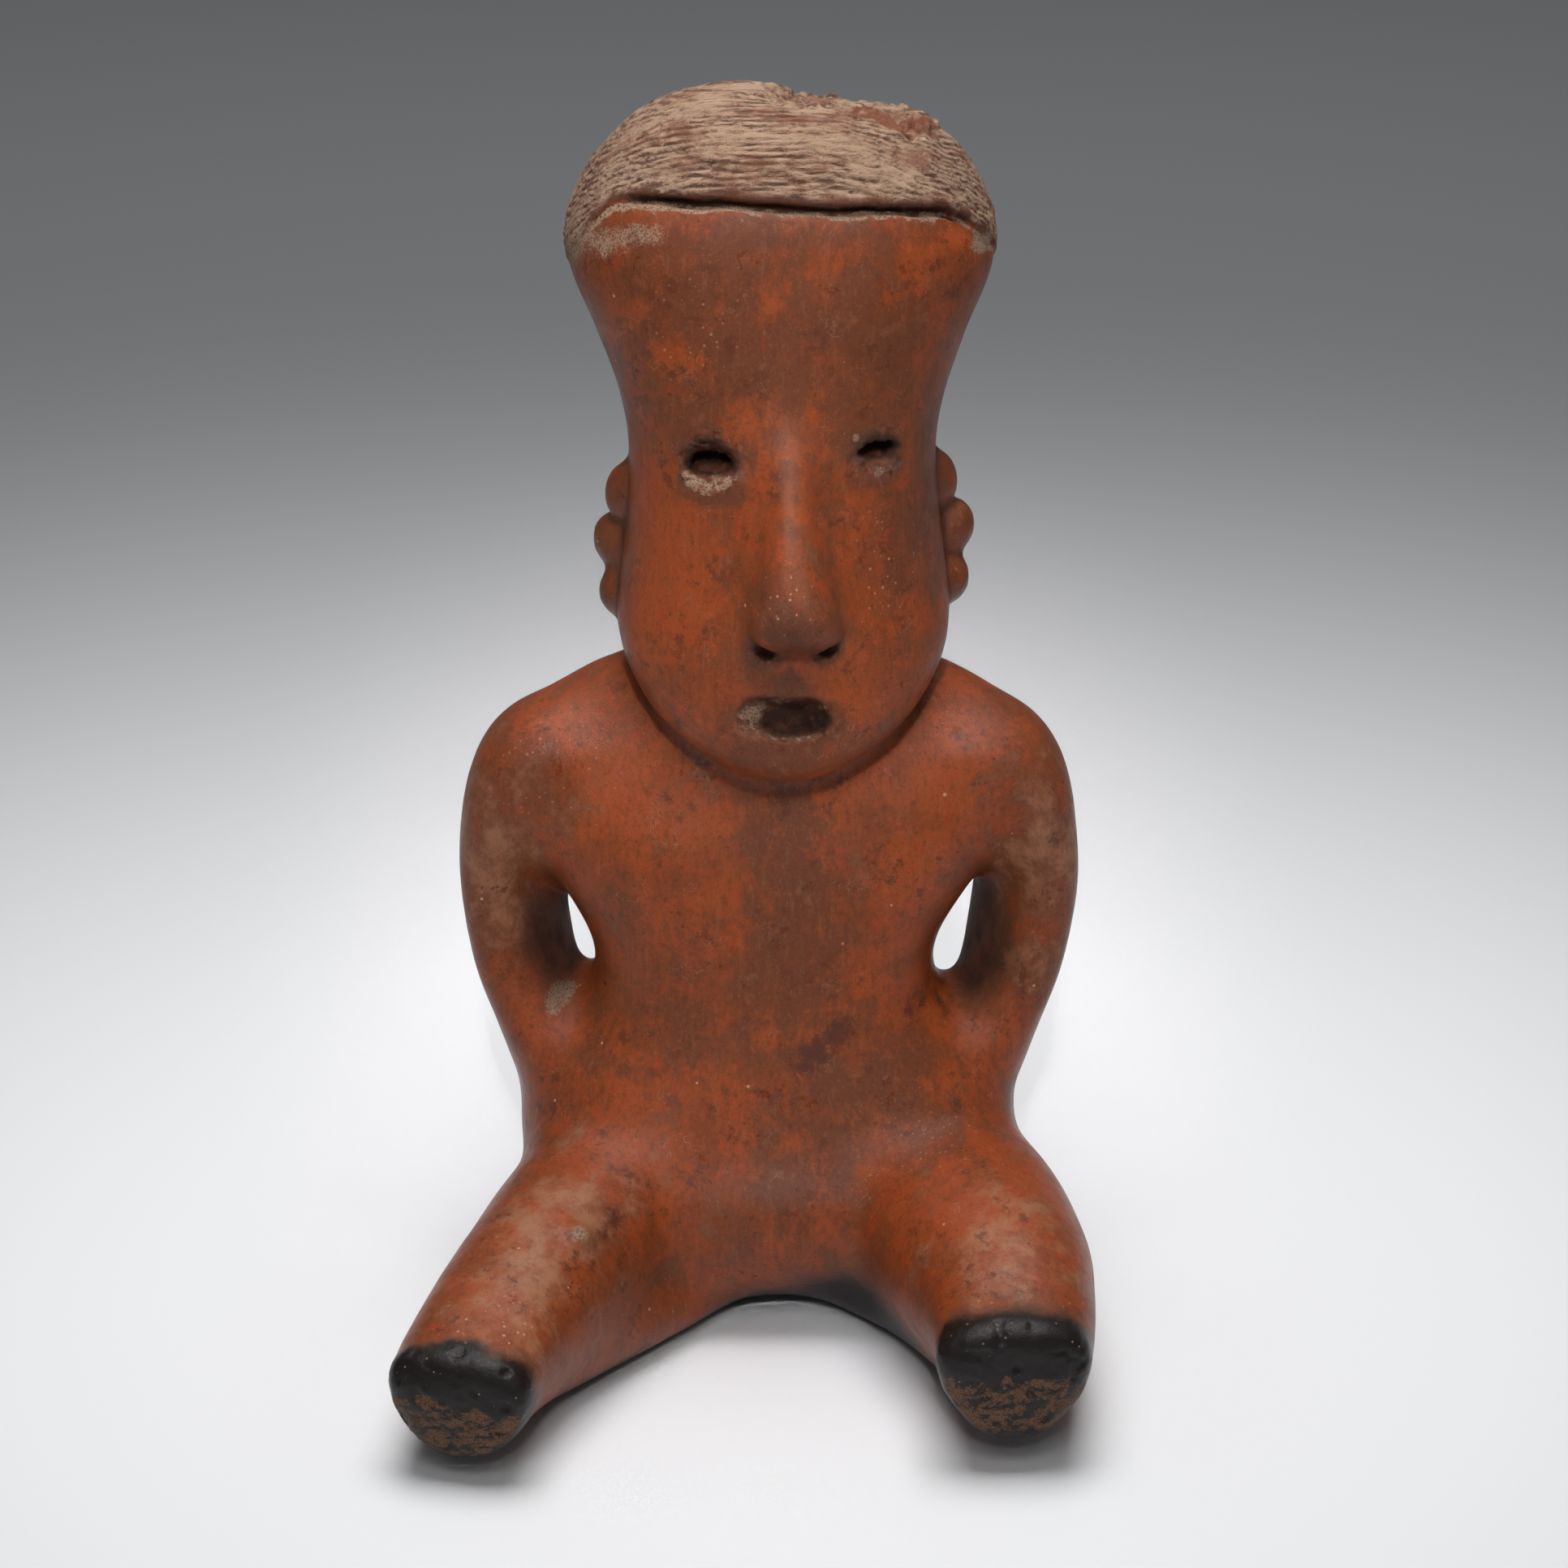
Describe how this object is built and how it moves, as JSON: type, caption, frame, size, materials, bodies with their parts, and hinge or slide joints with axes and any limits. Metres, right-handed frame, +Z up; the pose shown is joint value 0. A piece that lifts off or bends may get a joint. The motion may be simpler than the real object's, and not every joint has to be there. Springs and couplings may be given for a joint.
{
  "type": "nayarit figure",
  "caption": "Seated hand-built earthenware figure with a tall flaring head, ridge nose, bead ears, arms joined to the waist and short splayed legs.",
  "frame": {"origin": "middle of the flat underside that the figure sits on", "axes": "+Z up, the figure faces -Y, its left side is +X"},
  "size_m": [0.1562, 0.1431, 0.2805],
  "materials": {
    "earthenware": "burnished red-orange slip, worn, with soil and soot in the hollows"
  },
  "bodies": {
    "root": {"figure": "earthenware"}
  },
  "joints": []
}
